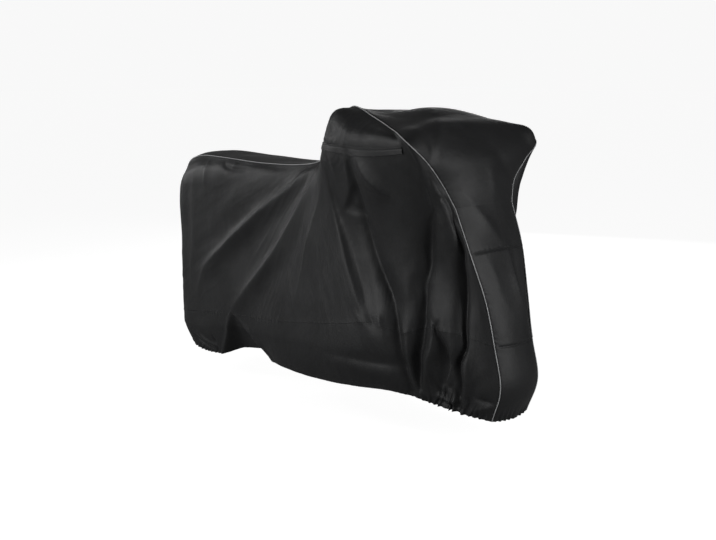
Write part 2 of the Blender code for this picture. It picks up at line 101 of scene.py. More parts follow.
# How far the centre line of the strip stands off the chord between the pipings: name, x, z,
# fullness on the right, fullness on the left.
CROWNS = (
    ("front hem", 0.020, -0.005, 2.0, 2.0),
    ("tyre", 0.028, 0.000, 2.2, 2.2),
    ("front seam", 0.032, 0.000, 2.5, 2.5),
    ("mudguard", 0.030, 0.003, 2.5, 2.5),
    ("hood seam", 0.025, 0.010, 2.5, 2.5),
    ("lamp", 0.040, 0.010, 2.2, 2.2),
    ("lamp top", 0.052, 0.010, 2.2, 2.2),
    ("nose", 0.034, 0.030, 2.2, 3.0),
    ("mirror tips", -0.028, 0.058, 2.4, 9.0),
    ("mirrors", -0.006, 0.056, 2.2, 4.5),
    ("screen top", 0.034, 0.048, 2.0, 2.0),
    ("screen rear", 0.020, 0.000, 2.0, 2.0),
    ("bars", 0.010, 0.000, 2.0, 2.0),
    ("tank top", 0.000, 0.010, 2.0, 2.0),
    ("tank end", 0.000, 0.008, 2.0, 2.0),
    ("rider", 0.000, 0.008, 2.0, 2.0),
    ("seat", 0.000, 0.013, 2.0, 2.0),
    ("pillion", 0.000, 0.017, 2.0, 2.0),
    ("rail", -0.005, 0.020, 2.0, 2.0),
    ("tail", -0.015, 0.015, 2.0, 2.0),
    ("tail end", -0.020, 0.008, 2.0, 2.0),
    ("rear lamp", -0.020, 0.000, 2.0, 2.0),
    ("rear plate", -0.020, 0.000, 2.0, 2.0),
    ("rear seam", -0.020, 0.000, 2.0, 2.0),
    ("rear calf", -0.020, 0.000, 2.0, 2.0),
    ("rear hem", -0.018, 0.000, 2.0, 2.0),
)
HOOD_SEAM_ROW, FRONT_SEAM_ROW, REAR_SEAM_ROW = 4, 2, 23

# What bears on the cloth from inside, or lets it sink: name, side (-1 right, 1 left, 0 both), centre
# x, y and z, reach along x, y and z, and how far out the cloth goes there.
BUMPS = (
    ("right grip", -1, 0.290, 0.285, 1.215, 0.070, 0.060, 0.050, 0.034),
    ("left grip", 1, 0.300, 0.285, 1.215, 0.075, 0.070, 0.060, 0.012),
    ("right mirror", -1, 0.670, 0.310, 1.170, 0.070, 0.050, 0.080, 0.010),
    ("left mirror", 1, 0.690, 0.345, 1.165, 0.055, 0.045, 0.050, 0.022),
    ("right grip heel", -1, 0.225, 0.255, 1.210, 0.050, 0.060, 0.050, 0.018),
    ("gap beside the screen", -1, 0.380, 0.120, 1.240, 0.060, 0.060, 0.080, -0.012),
)

# ---- creases

# Each crease runs along its points, from the top down. Name, how round its crest is, then points (x, z,
# how far out it stands, its width on the rear or upper side, its width on the front or lower side). A
# trough stands out by less than nothing.
RIGHT_CREASES = (
    ("saddle ridge", 4, (30, 1016, 3, 14, 20), (-129, 914, 14, 17, 35), (-316, 802, 24, 20, 45),
     (-516, 667, 30, 24, 50), (-704, 530, 23, 34, 60), (-774, 446, 15, 40, 60), (-830, 330, 3, 50, 50)),
    ("under saddle ridge", 16, (20, 960, -2, 20, 20), (-80, 898, -7, 28, 28), (-258, 760, -10, 35, 35),
     (-479, 612, -10, 45, 45), (-674, 473, -5, 50, 50)),
    ("tank ridge", 4, (54, 991, 4, 12, 20), (-6, 892, 13, 14, 30), (-96, 769, 19, 16, 35),
     (-205, 629, 25, 22, 40), (-353, 491, 28, 28, 45), (-525, 343, 10, 30, 50)),
    ("under tank ridge", 14, (40, 890, -2, 20, 20), (-50, 730, -6, 25, 30), (-150, 590, -8, 30, 40),
     (-304, 455, -8, 40, 40), (-438, 339, -3, 40, 40)),
    ("tank side crease", 3, (138, 930, 1, 12, 20), (77, 805, 6, 12, 20), (25, 676, 8, 14, 20),
     (-25, 503, 4, 14, 20), (-50, 430, 1, 14, 20)),
    ("tank pleat edge", 3, (204, 1082, 2, 30, 10), (208, 1043, 6, 40, 10), (208, 894, 8, 50, 12),
     (238, 771, 10, 50, 14), (279, 648, 11, 50, 15), (330, 527, 10, 50, 16), (362, 462, 5, 50, 18),
     (400, 390, 1, 50, 20)),
    ("tank pleat dip", 10, (226, 1060, -2, 12, 30), (232, 894, -6, 18, 50), (270, 771, -9, 22, 60),
     (320, 648, -12, 28, 70), (376, 527, -10, 30, 70), (410, 440, -3, 30, 40)),
    ("flap slope", 4, (368, 1085, -2, 30, 20), (362, 977, -6, 60, 40), (365, 865, -10, 90, 60),
     (389, 742, -16, 110, 90), (445, 612, -21, 120, 100), (496, 503, -21, 110, 80),
     (520, 400, -10, 60, 30)),
    ("flap valley", 3, (368, 1085, -4, 12, 20), (362, 977, -10, 14, 20), (365, 865, -14, 18, 24),
     (389, 742, -17, 22, 30), (445, 612, -20, 24, 34), (496, 503, -21, 26, 34), (520, 370, -24, 30, 28),
     (532, 290, -22, 28, 16), (545, 165, -10, 22, 12)),
    ("flap valley lip", 4, (500, 520, 1, 13, 20), (544, 400, 8, 14, 20), (556, 300, 12, 13, 16),
     (572, 180, 10, 12, 14), (586, 150, 6, 12, 12)),
    ("elbow crease", 3, (406, 1078, 3, 40, 20), (440, 1026, 22, 45, 30), (488, 976, 22, 40, 28),
     (538, 932, 3, 24, 16)),
    ("flap tuck", 3, (340, 1085, 2, 12, 7), (345, 1035, 7, 14, 8), (326, 940, 2, 14, 9)),
    ("flap fold", 4, (252, 1088, 1, 14, 12), (262, 1050, 6, 16, 12), (256, 995, 1, 14, 12)),
    ("pleat foot one", 3, (330, 462, 1, 10, 8), (352, 438, 6, 10, 8), (372, 420, 1, 10, 8)),
    ("pleat foot two", 3, (384, 466, -1, 10, 8), (402, 440, -6, 10, 8), (415, 416, -1, 10, 8)),
    ("pleat foot three", 3, (430, 470, 1, 12, 8), (442, 440, 6, 12, 8), (450, 408, 1, 10, 8)),
    ("seam knot", 3, (652, 478, 1, 9, 6), (668, 444, 8, 9, 6), (670, 412, 1, 8, 6)),
    ("seam knot side", 3, (696, 480, -1, 8, 6), (686, 448, -7, 8, 6), (690, 425, -1, 8, 6)),
    ("seam knot rear", 3, (636, 462, -1, 6, 6), (652, 436, -5, 6, 6), (656, 412, -1, 6, 6)),
    ("facet edge", 3, (362, 995, 1, 20, 8), (330, 945, 7, 30, 9), (285, 893, 7, 30, 9),
     (252, 862, 1, 20, 9)),
    ("facet dip", 8, (352, 945, -2, 20, 12), (315, 884, -6, 20, 12), (345, 862, -4, 20, 12)),
    ("facet lip", 3, (262, 856, 1, 20, 8), (315, 846, 3, 30, 9), (375, 832, 1, 20, 9)),
    ("fork trough", 5, (726, 1010, -3, 16, 16), (716, 950, -14, 26, 28), (694, 860, -29, 36, 40),
     (656, 740, -41, 40, 44), (638, 623, -45, 42, 44), (634, 550, -46, 42, 42), (628, 473, -44, 40, 34),
     (612, 372, -40, 34, 22), (594, 246, -30, 26, 14), (581, 185, -12, 20, 12)),
    ("fork ridge", 6, (670, 460, 1, 20, 30), (660, 400, 8, 16, 16), (645, 320, 13, 14, 14),
     (628, 250, 11, 12, 14), (612, 195, 4, 12, 12)),
    ("skirt wedge", 4, (672, 455, -3, 8, 8), (690, 410, -16, 16, 8), (712, 345, -28, 30, 10),
     (718, 280, -30, 38, 11), (688, 217, -12, 30, 14)),
    ("plateau", 14, (735, 470, 1, 20, 20), (742, 400, 4, 18, 22), (742, 330, 6, 16, 18),
     (735, 265, 3, 14, 16)),
    ("piping trough", 2, (746, 930, -6, 10, 6), (757, 905, -14, 14, 6), (777, 774, -26, 22, 7),
     (785, 694, -34, 27, 7), (791, 573, -34, 26, 7), (797, 447, -28, 17, 7), (797, 387, -24, 14, 7),
     (776, 329, -26, 16, 8), (770, 273, -28, 16, 8), (764, 224, -26, 15, 8), (755, 149, -12, 12, 10)),
    ("piping panel", 12, (812, 774, 1, 20, 20), (822, 650, 4, 24, 30), (832, 520, 4, 24, 30),
     (838, 440, 2, 24, 30)),
    ("calf trough", 8, (812, 410, -1, 16, 16), (829, 322, -3, 22, 16), (840, 265, -5, 24, 16),
     (833, 225, -6, 22, 14), (815, 188, -3, 14, 10)),
    ("calf bulge", 8, (800, 330, 2, 12, 14), (799, 250, 10, 14, 16), (788, 180, 3, 14, 14)),
    ("rear bunch", 3, (-880, 165, -2, 10, 7), (-820, 128, -10, 10, 7), (-740, 108, -3, 10, 7)),
    ("rear bunch roll", 3, (-840, 172, 2, 9, 7), (-785, 140, 8, 9, 7), (-715, 124, 2, 9, 7)),
    ("rear knot", 3, (-735, 185, -1, 7, 6), (-722, 150, -9, 7, 6), (-716, 110, -3, 7, 6)),
    ("hem dimple", 6, (734, 245, -3, 12, 10), (716, 205, -12, 14, 10), (735, 178, -4, 12, 10)),
    ("bunch roll", 3, (640, 160, 2, 7, 7), (672, 164, 9, 8, 7), (712, 150, 10, 8, 7), (765, 168, 3, 8, 8)),
    ("bunch hollow", 3, (630, 145, -3, 6, 8), (668, 140, -11, 6, 9), (715, 130, -10, 6, 9),
     (790, 140, -2, 8, 10)),
    ("first knot", 3, (664, 205, -2, 6, 5), (668, 182, -11, 7, 5), (678, 155, -4, 6, 5)),
    ("second knot", 3, (688, 205, -2, 6, 5), (692, 180, -12, 7, 6), (700, 150, -4, 6, 5)),
    ("third knot", 3, (745, 205, -2, 6, 6), (748, 182, -9, 6, 6), (752, 158, -3, 6, 6)),
    ("fourth knot", 3, (792, 200, -2, 8, 6), (800, 178, -9, 8, 6), (806, 150, -3, 6, 6)),
    ("hem wrinkle", 3, (830, 190, -2, 6, 10), (883, 183, -9, 6, 12), (918, 174, -3, 6, 10)),
    ("low hem wrinkle", 3, (800, 132, 2, 12, 10), (847, 152, 8, 8, 16), (912, 165, 2, 8, 12)),
    ("belly dip", 6, (150, 268, -1, 14, 24), (300, 270, -5, 14, 30), (440, 268, -8, 14, 34),
     (528, 264, -3, 12, 20)),
    ("belly roll", 14, (170, 236, 1, 20, 20), (300, 226, 2, 20, 20), (430, 218, 2, 20, 20),
     (525, 212, 1, 20, 15)),
    ("flap brow", 4, (205, 1130, 1, 8, 12), (240, 1128, 3, 8, 14), (300, 1127, 1, 8, 14)),
    ("heel facet", 4, (252, 1132, -1, 30, 12), (266, 1165, -7, 40, 14), (272, 1205, -2, 30, 14)),
    ("bar facet", 6, (330, 1215, 1, 30, 20), (350, 1180, 5, 40, 20), (372, 1140, 1, 30, 20)),
    ("seat dimple", 8, (-330, 972, -1, 14, 16), (-400, 966, -4, 14, 20), (-500, 966, -5, 14, 20),
     (-575, 980, -1, 14, 14)),
    ("seat pinch", 3, (-600, 1000, -1, 10, 6), (-575, 978, -7, 12, 7), (-520, 968, -7, 12, 8),
     (-440, 972, -2, 10, 8)),
    ("seat fold", 3, (-490, 1000, 2, 10, 10), (-515, 985, 7, 10, 14), (-548, 958, 2, 10, 12)),
    ("tail crease", 6, (-805, 960, 1, 30, 30), (-818, 870, 5, 20, 40), (-845, 620, 6, 20, 40),
     (-872, 430, 2, 20, 40)),
    ("tail hollow", 20, (-870, 900, -2, 30, 20), (-890, 780, -8, 30, 25), (-905, 600, -9, 30, 30),
     (-905, 400, -2, 30, 30)),
    ("corner crease", 3, (-713, 1006, 1, 10, 20), (-722, 950, 5, 10, 20), (-729, 890, 1, 12, 20)),
    ("knee crease", 3, (-116, 594, 0, 10, 20), (-80, 490, 5, 10, 20), (-42, 380, 1, 10, 20)),
    ("calf crease", 4, (140, 618, 0, 10, 20), (162, 560, 5, 10, 20), (190, 480, 1, 10, 20)),
    ("rear drape", 10, (-420, 930, 0, 30, 30), (-560, 800, 5, 30, 50), (-740, 680, 1, 30, 50)),
)
LEFT_CREASES = (
    ("saddle ridge", 5, (-10, 1005, 3, 30, 14), (-120, 880, 15, 50, 18), (-280, 700, 19, 70, 24),
     (-430, 520, 16, 70, 30), (-560, 375, 4, 60, 30)),
    ("under saddle ridge", 20, (10, 910, -4, 30, 30), (-80, 760, -14, 30, 30), (-200, 600, -17, 40, 40),
     (-440, 330, -4, 50, 50)),
    ("rear ridge", 6, (-330, 985, 1, 30, 12), (-480, 830, 11, 50, 18), (-650, 620, 12, 60, 26),
     (-760, 430, 2, 50, 30)),
    ("tank crease", 4, (90, 980, 1, 20, 10), (40, 800, 7, 30, 12), (-20, 600, 7, 30, 14),
     (-100, 400, 1, 30, 14)),
    ("tank trough", 12, (195, 1060, -4, 14, 16), (198, 900, -16, 18, 26), (212, 700, -22, 24, 38),
     (260, 470, -14, 34, 40), (300, 380, -2, 40, 40)),
    ("tank lip", 8, (270, 1020, 2, 16, 40), (276, 860, 10, 18, 50), (300, 640, 12, 22, 50),
     (360, 420, 3, 24, 40)),
    ("flap valley", 6, (425, 1060, -3, 20, 12), (440, 900, -14, 30, 12), (470, 690, -20, 40, 14),
     (492, 440, -19, 40, 14), (505, 200, -6, 30, 14)),
    ("elbow crease", 5, (560, 1060, -2, 20, 12), (545, 990, -10, 20, 14), (500, 920, -3, 20, 12)),
    ("fork trough", 12, (705, 955, -4, 20, 14), (655, 820, -22, 30, 20), (628, 640, -34, 45, 28),
     (630, 430, -32, 40, 28), (640, 210, -10, 30, 24)),
    ("fork ridge", 6, (735, 880, 1, 14, 20), (706, 740, 13, 20, 30), (700, 560, 14, 22, 30),
     (712, 380, 3, 22, 30)),
    ("piping trough", 6, (757, 870, -6, 10, 10), (768, 740, -20, 16, 12), (772, 580, -22, 18, 12),
     (792, 420, -18, 14, 10), (800, 260, -8, 14, 12)),
    ("belly dip", 10, (0, 270, -2, 15, 15), (120, 262, -12, 20, 14), (280, 266, -14, 20, 14),
     (390, 272, -2, 15, 12)),
    ("belly roll", 8, (20, 245, 2, 20, 15), (200, 232, 9, 30, 15), (370, 240, 2, 20, 15)),
    ("tail crease", 6, (-800, 940, 1, 30, 30), (-830, 760, 7, 30, 50), (-850, 560, 6, 30, 50),
     (-865, 400, 1, 30, 50)),
    ("tail hollow", 20, (-868, 880, -2, 30, 20), (-900, 640, -9, 30, 30), (-900, 400, -2, 30, 30)),
    ("knee crease", 3, (-60, 560, 0, 20, 10), (-70, 470, 5, 20, 10), (-100, 360, 1, 20, 10)),
)

# Where the skirt tucks in behind the rear wheel: side, apex x and z, foot of the rear edge, foot of
# the front edge, depth at the hem, and how soft the rear and the front edge are.
TUCKS = (
    (-1, (-0.535, 0.330), (-0.688, 0.085), (-0.262, 0.135), 0.058, 0.018, 0.010),
    (1, (-0.520, 0.320), (-0.650, 0.085), (-0.280, 0.130), 0.050, 0.020, 0.014),
)

# Creases of the centre strip: name, how round, then points (x, y, z, how far out, width towards the
# right, width towards the left).
STRIP_CREASES = (
    ("screen ridge", 5, (600, -80, 1235, 1, 40, 40), (669, -166, 1205, 9, 40, 30),
     (717, -224, 1152, 12, 30, 30), (734, -251, 1090, 5, 30, 30), (750, -240, 1000, 1, 30, 30)),
    ("screen crease", 4, (690, -224, 1186, -1, 10, 12), (716, -262, 1140, -6, 10, 14),
     (728, -276, 1083, -2, 10, 12)),
    ("screen rim", 10, (350, -200, 1245, -2, 20, 30), (417, -215, 1232, -7, 20, 30),
     (504, -235, 1218, -3, 20, 30)),
    ("hood dip", 12, (657, -54, 1211, -1, 20, 30), (704, -8, 1180, -4, 20, 30), (735, 58, 1133, -5, 20, 30),
     (763, 108, 1050, -6, 20, 30), (743, 181, 986, -1, 20, 30)),
    ("nose fold", 10, (769, 8, 1070, 1, 20, 30), (777, 13, 996, 5, 20, 30), (790, 6, 900, 1, 20, 30)),
    ("lamp crease", 6, (759, -142, 966, 1, 30, 20), (800, -70, 870, 6, 30, 20), (830, -5, 776, 2, 30, 20)),
    ("mudguard crease", 3, (840, 34, 745, 3, 30, 10), (850, 39, 710, 8, 30, 10), (877, 38, 624, 15, 30, 12),
     (897, 51, 549, 14, 30, 12), (907, 73, 485, 4, 30, 12)),
    ("mudguard hollow", 10, (815, 66, 790, -1, 30, 30), (845, 72, 715, -10, 30, 40),
     (868, 76, 640, -18, 30, 45), (888, 86, 550, -18, 30, 45), (900, 96, 470, -8, 26, 30),
     (905, 100, 410, -1, 24, 20)),
    ("mudguard diagonal", 6, (835, -90, 730, 1, 20, 20), (865, -74, 650, 5, 20, 20),
     (890, -60, 570, 1, 20, 20)),
    ("seat dip", 20, (-160, 10, 1015, -4, 40, 40), (-260, -30, 1012, -6, 40, 40)),
    ("pillion dip", 20, (-500, 40, 1025, -4, 40, 40), (-580, -10, 1030, -6, 40, 40)),
)

# Spacing of the skin's points along and across it, how near its seams and hem the closer rows lie, and
# over what width the points of the centre strip are shared out.
STEP_ALONG, STEP_DOWN, STEP_ACROSS = 0.0048, 0.0050, 0.0060
CLOSE_ROWS = (0.0016, 0.0032, 0.0052, 0.0076)
STRIP_SPREAD = 0.42

# Over what length folds die out beside the piping, and how far the line of a crease wanders from its
# points where the cloth is slack, round the front wheel.
FADE_BY_PIPING = 0.045
WANDER = 0.008

# Depth and width: of the strip's cross seams, of the lap of the upper cloth over the lower one, of the
# border that turns in beside the piping, and of the hem's line, with how far that is from the edge.
STRIP_SEAM_DEPTH, STRIP_SEAM_WIDTH = 0.0034, 0.0055
LAP_RISE, LAP_WIDTH = 0.0015, 0.0110
TURN_IN, SEAM_WIDTH = 0.0016, 0.0030
HEM_DEPTH, HEM_WIDTH, HEM_UP = 0.0007, 0.0022, 0.020

# Height and pitch of the gathers by the wheels, of those across the strip, and of a seam's puckers.
GATHER_HIGH, GATHER_PITCH = 0.0042, 0.026
STRIP_GATHER_HIGH, STRIP_GATHER_PITCH = 0.0030, 0.024
PUCKER_HIGH, PUCKER_PITCH = 0.0008, 0.023
FRONT_GATHER_X, REAR_GATHER_X, KNOT_X = 0.74, -0.80, 0.70

# The cord, how deep it lies in the seam; the cloth's thickness, and the rows of its turned-in hem.
PIPING_R, PIPING_SIDES, PIPING_SUNK = 0.0017, 10, 0.0002
CLOTH_T, HEM_TURN = 0.0010, 5

# Pitch of the cloth's threads, and of the knit along and around the cord.
WEAVE_PITCH, KNIT_ALONG, KNIT_AROUND = 0.0009, 0.0012, 0.0021

# Pitch and length of a stitch; its rings: place along it, height and half width; and how far a row of
# stitches is from the piping, a seam and the hem.
STITCH_PITCH, STITCH_LONG = 0.0042, 0.0030
STITCH_RINGS = (
    (-0.5, -0.0002, 0.00012),
    (-0.2, 0.00045, 0.00032),
    (0.2, 0.00045, 0.00032),
    (0.5, -0.0002, 0.00012),
)
BY_PIPING, BY_SEAM, BY_HEM = 0.0075, 0.0065, 0.0200

# Vent flap: x, height of its sewn edge and of its free edge, from the rear end to the front end; its
# counts of steps; how far off the panel the two edges stand; and where its rows of stitches are.
FLAP_ROWS = (
    (0.205, 1.117, 1.089),
    (0.320, 1.113, 1.080),
    (0.440, 1.109, 1.075),
    (0.560, 1.113, 1.082),
    (0.655, 1.121, 1.094),
)
FLAP_LONG, FLAP_DEEP = 150, 16
FLAP_SEWN, FLAP_FREE = 0.0022, 0.0056
FLAP_STITCHES = (0.08, 0.30, 0.92)


def catmull(rows, t):
    """Smooth curve through the rows, at positions t counted in rows."""
    rows = np.asarray(rows, float)
    ends = np.concatenate([[2 * rows[0] - rows[1]], rows, [2 * rows[-1] - rows[-2]]])
    i = np.clip(np.floor(t).astype(int), 0, len(rows) - 2)
    f = (np.asarray(t) - i).reshape((-1,) + (1,) * (rows.ndim - 1))
    a, b, c, d = ends[i], ends[i + 1], ends[i + 2], ends[i + 3]
    return b + 0.5 * f * (c - a + f * (2 * a - 5 * b + 4 * c - d + f * (3 * (b - c) + d - a)))


def smooth_step(value, low, high):
    f = np.clip((value - low) / (high - low), 0, 1)
    return f * f * (3 - 2 * f)


def bell(away, width, power=2):
    """1 where away is nothing, and falling to 0 over that width."""
    return np.exp(-((away / width) ** power))


def noise(x, y, cell_x, cell_y, seed):
    """Smooth noise between about -1 and 1 over the plane, in cells of that size."""
    values = np.random.default_rng(seed).uniform(-1, 1, (97, 97))
    grid_x, grid_y = x / cell_x, y / cell_y
    ix, iy = np.floor(grid_x).astype(int), np.floor(grid_y).astype(int)
    fx, fy = grid_x - ix, grid_y - iy
    fx = fx ** 3 * (fx * (fx * 6 - 15) + 10)
    fy = fy ** 3 * (fy * (fy * 6 - 15) + 10)
    low = values[ix % 97, iy % 97] * (1 - fx) + values[(ix + 1) % 97, iy % 97] * fx
    high = values[ix % 97, (iy + 1) % 97] * (1 - fx) + values[(ix + 1) % 97, (iy + 1) % 97] * fx
    return low * (1 - fy) + high * fy


def noise_along(along, cell, seed):
    return noise(along, 0 * along, cell, 1.0, seed)


def row_at(places_of_rows, level):
    return int(np.argmin(np.abs(places_of_rows - level)))


def corners(ids):
    """The four corner points of each cell of a grid."""
    return ids[..., :-1, :-1], ids[..., 1:, :-1], ids[..., 1:, 1:], ids[..., :-1, 1:]


# ---- the skin


def push_bumps(points, normals):
    """Moves the skin along its normals by the rows of BUMPS."""
    out = np.zeros(len(points))
    for name, hand, x, y, z, reach_x, reach_y, reach_z, height in BUMPS:
        for side in (-1, 1):
            if hand in (0, side):
                away = ((points[:, 0] - x) / reach_x) ** 2 + ((points[:, 1] - side * y) / reach_y) ** 2
                out += height * np.exp(-away - ((points[:, 2] - z) / reach_z) ** 2)
    return points + out[:, None] * normals


def tilt_bars(points):
    """Turns the upper part about the X axis, so that the left of the bars is the lower."""
    angle = BAR_TILT * smooth_step(points[..., 2], TILT_FROM_Z, TILT_TO_Z)
    up = points[..., 2] - TILT_TO_Z
    turned = points.copy()
    turned[..., 1] = points[..., 1] * np.cos(angle) + up * np.sin(angle)
    turned[..., 2] = TILT_TO_Z + up * np.cos(angle) - points[..., 1] * np.sin(angle)
    return turned


def side_of(u, v, hand):
    """Points of one side: u counts sections from the front, v levels from the top; hand -1 is right."""
    points = np.swapaxes(catmull(np.swapaxes(catmull(SECTION_POINTS, u), 0, 1), v), 0, 1)
    points[..., 1] *= hand
    return points


def strip_of(right_edge, left_edge, q, across):
    """Points of the centre strip between its two edges; q counts the rows of CROWNS."""
    crown = catmull([row[1:] for row in CROWNS], q)
    full = np.where(across[:, None] < 0, crown[None, :, 2], crown[None, :, 3])
    rise = 1 - np.abs(across)[:, None] ** full
    share = (across[:, None, None] + 1) / 2
    points = right_edge[None] * (1 - share) + left_edge[None] * share
    points[..., 0] += rise * crown[None, :, 0]
    points[..., 2] += rise * crown[None, :, 1]
    return points


def places(rows, step, close_at):
    """Positions counted in rows, a step apart by the rows' mean distance, closer together at some rows."""
    found = [0.0]
    for i, length in enumerate(np.linalg.norm(np.diff(rows, axis=0), axis=2).mean(axis=1)):
        count = max(2, int(round(length / step)))
        inside = list(np.linspace(0, 1, count + 1)[1:])
        offsets = [d / length for d in CLOSE_ROWS]
        if i in close_at:
            inside = offsets + [f for f in inside if f > offsets[-1] + 0.4 * step / length]
        if i + 1 in close_at:
            inside = [f for f in inside[:-1] if f < 1 - offsets[-1] - 0.4 * step / length]
            inside += [1 - f for f in reversed(offsets)] + [1.0]
        found += [i + f for f in inside]
    return np.array(found)


def build_skin():
    """The whole skin as one set of points, with the index grids of its three patches."""
    u = places(SECTION_POINTS, STEP_ALONG, (0, len(SECTIONS) - 1))
    v = places(np.swapaxes(SECTION_POINTS, 0, 1), STEP_DOWN, (0, SKIRT_SEAM_LEVEL, HEM_LEVEL))
    right, left = side_of(u, v, -1), side_of(u, v, 1)
    count = len(u) * len(v)
    right_ids = np.arange(count).reshape(len(u), len(v))
    left_ids = right_ids + count

    # The strip's edge runs up the first section, along the top level and down the last section.
    def edge(grid):
        return np.concatenate([grid[0, ::-1], grid[1:, 0], grid[-1, 1:]])

    q = np.concatenate([HEM_LEVEL - v[::-1], HEM_LEVEL + u[1:], HEM_LEVEL + u[-1] + v[1:]])
    inside = np.linspace(-1, 1, int(round(STRIP_SPREAD / STEP_ACROSS)) + 1)[1:-1]
    inside = np.sign(inside) * (1 - (1 - np.abs(inside)) ** 1.25)
    across = np.concatenate([[-1.0], inside, [1.0]])
    strip = strip_of(edge(right), edge(left), q, across)
    inner = np.arange((len(across) - 2) * len(q)).reshape(len(across) - 2, len(q)) + 2 * count
    strip_ids = np.concatenate([edge(right_ids)[None], inner, edge(left_ids)[None]])
    points = np.concatenate([right.reshape(-1, 3), left.reshape(-1, 3), strip[1:-1].reshape(-1, 3)])
    return points, {"right": right_ids, "left": left_ids, "strip": strip_ids}, v, q


def skin_normals(points, patches):
    """Outward normals, shared along the seams."""
    normals = np.zeros_like(points)
    for name, ids in patches.items():
        a, b, c, d = corners(ids.T if name == "left" else ids)
        face = np.cross(points[c] - points[a], points[d] - points[b])
        for axis in range(3):
            for corner in (a, b, c, d):
                normals[:, axis] += np.bincount(corner.ravel(), face[..., axis].ravel(), len(points))
    return normals / np.maximum(np.linalg.norm(normals, axis=1), 1e-12)[:, None]


def run_of(grid, axis):
    """Length along one axis of a grid of points, from its first row, at each point."""
    steps = np.linalg.norm(np.diff(grid, axis=axis), axis=2)
    start = np.zeros_like(np.take(steps, [0], axis))
    return np.concatenate([start, np.cumsum(steps, axis=axis)], axis=axis)


# ---- folds and seams


def nearest_on(path, spots):
    """Of each spot: its distance from the path, where on it that is, the way there, and its heading."""
    best = np.full(len(spots), np.inf)
    along = np.zeros(len(spots))
    way = np.zeros(spots.shape)
    heading = np.zeros(spots.shape)
    for i, (start, run) in enumerate(zip(path[:-1], np.diff(path, axis=0))):
        apart = spots - start
        t = np.clip(apart @ run / (run @ run), 0, 1)
        gap = apart - t[:, None] * run
        away = np.linalg.norm(gap, axis=1)
        closer = away < best
        best[closer] = away[closer]
        along[closer] = i + t[closer]
        way[closer] = gap[closer]
        heading[closer] = run / np.linalg.norm(run)
    return best, along, way, heading


def fold_heights(away, side, along, values, round_by):
    """Heights of a fold with a rounded crest; values has its height and its two widths along its path."""
    height, first, second = (np.interp(along, np.arange(len(values)), column) for column in values.T)
    blend = smooth_step(side, -0.3 * round_by - 0.001, 0.3 * round_by + 0.001)
    rounded = np.sqrt(away ** 2 + round_by ** 2) - round_by
    return height * bell(rounded, first * (1 - blend) + second * blend, 1.25)


def crease_heights(flat, creases):
    """How far each point of a side is moved out by the creases of its table."""
    total = np.zeros(len(flat))
    for name, round_by, *rows in creases:
        rows, round_by = MM * np.array(rows), MM * round_by
        length = np.linalg.norm(np.diff(rows[:, :2], axis=0), axis=1).sum()
        path = catmull(rows, np.linspace(0, len(rows) - 1, max(3, int(length / 0.02))))
        reach = 4 * rows[:, 3:].max() + 2 * round_by
        inside = (flat > path[:, :2].min(0) - reach) & (flat < path[:, :2].max(0) + reach)
        near = np.nonzero(inside.all(1))[0]
        x, z = flat[near].T
        slack = 0.2 + 0.8 * smooth_step(x, 0.50, 0.64)
        wander = [WANDER * slack * noise(x, z, 0.060, 0.075, seed) for seed in (61, 62)]
        spots = flat[near] + np.stack(wander, axis=1)
        away, along, gap, heading = nearest_on(path[:, :2], spots)
        side = heading[:, 0] * gap[:, 1] - heading[:, 1] * gap[:, 0]
        uneven = 1 + 0.20 * slack * noise(*spots.T, 0.060, 0.085, 63)
        total[near] += uneven * fold_heights(away, side, along, path[:, 2:], round_by)
    return total


def strip_crease_heights(points):
    """The same for the centre strip, where the sides of a crease are its right and its left."""
    total = np.zeros(len(points))
    for name, round_by, *rows in STRIP_CREASES:
        rows = MM * np.array(rows)
        path = catmull(rows, np.linspace(0, len(rows) - 1, 8 * (len(rows) - 1) + 1))
        away, along, gap, heading = nearest_on(path[:, :3], points)
        total += fold_heights(away, gap[:, 1], along, path[:, 3:], MM * round_by)
    return total


def tuck_heights(flat, hand):
    """The skirt's tuck behind the rear wheel: a wedge that opens downwards, between two edges."""
    total = np.zeros(len(flat))
    for side, apex, rear_foot, front_foot, depth, rear_soft, front_soft in TUCKS:
        if side != hand:
            continue
        apex, rear_foot, front_foot = np.array(apex), np.array(rear_foot), np.array(front_foot)
        rear, front = rear_foot - apex, front_foot - apex
        apart = flat - apex
        from_rear = (rear[0] * apart[:, 1] - rear[1] * apart[:, 0]) / np.hypot(*rear)
        from_front = -(front[0] * apart[:, 1] - front[1] * apart[:, 0]) / np.hypot(*front)
        opened = np.clip(-apart[:, 1] / (apex[1] - 0.5 * (rear_foot[1] + front_foot[1])), 0, 1.1)
        inside = smooth_step(from_rear, -0.2 * rear_soft, rear_soft + 0.05 * opened)
        inside *= smooth_step(from_front, -0.2 * front_soft, front_soft + 0.02 * opened)
        total -= depth * opened ** 0.8 * inside
        total += 0.006 * bell(from_front, 0.018) * smooth_step(opened, 0.0, 0.4) * (from_rear > 0)
        total += 0.007 * bell(from_rear, 0.016) * smooth_step(opened, 0.0, 0.3) * (from_front > 0)
    return total


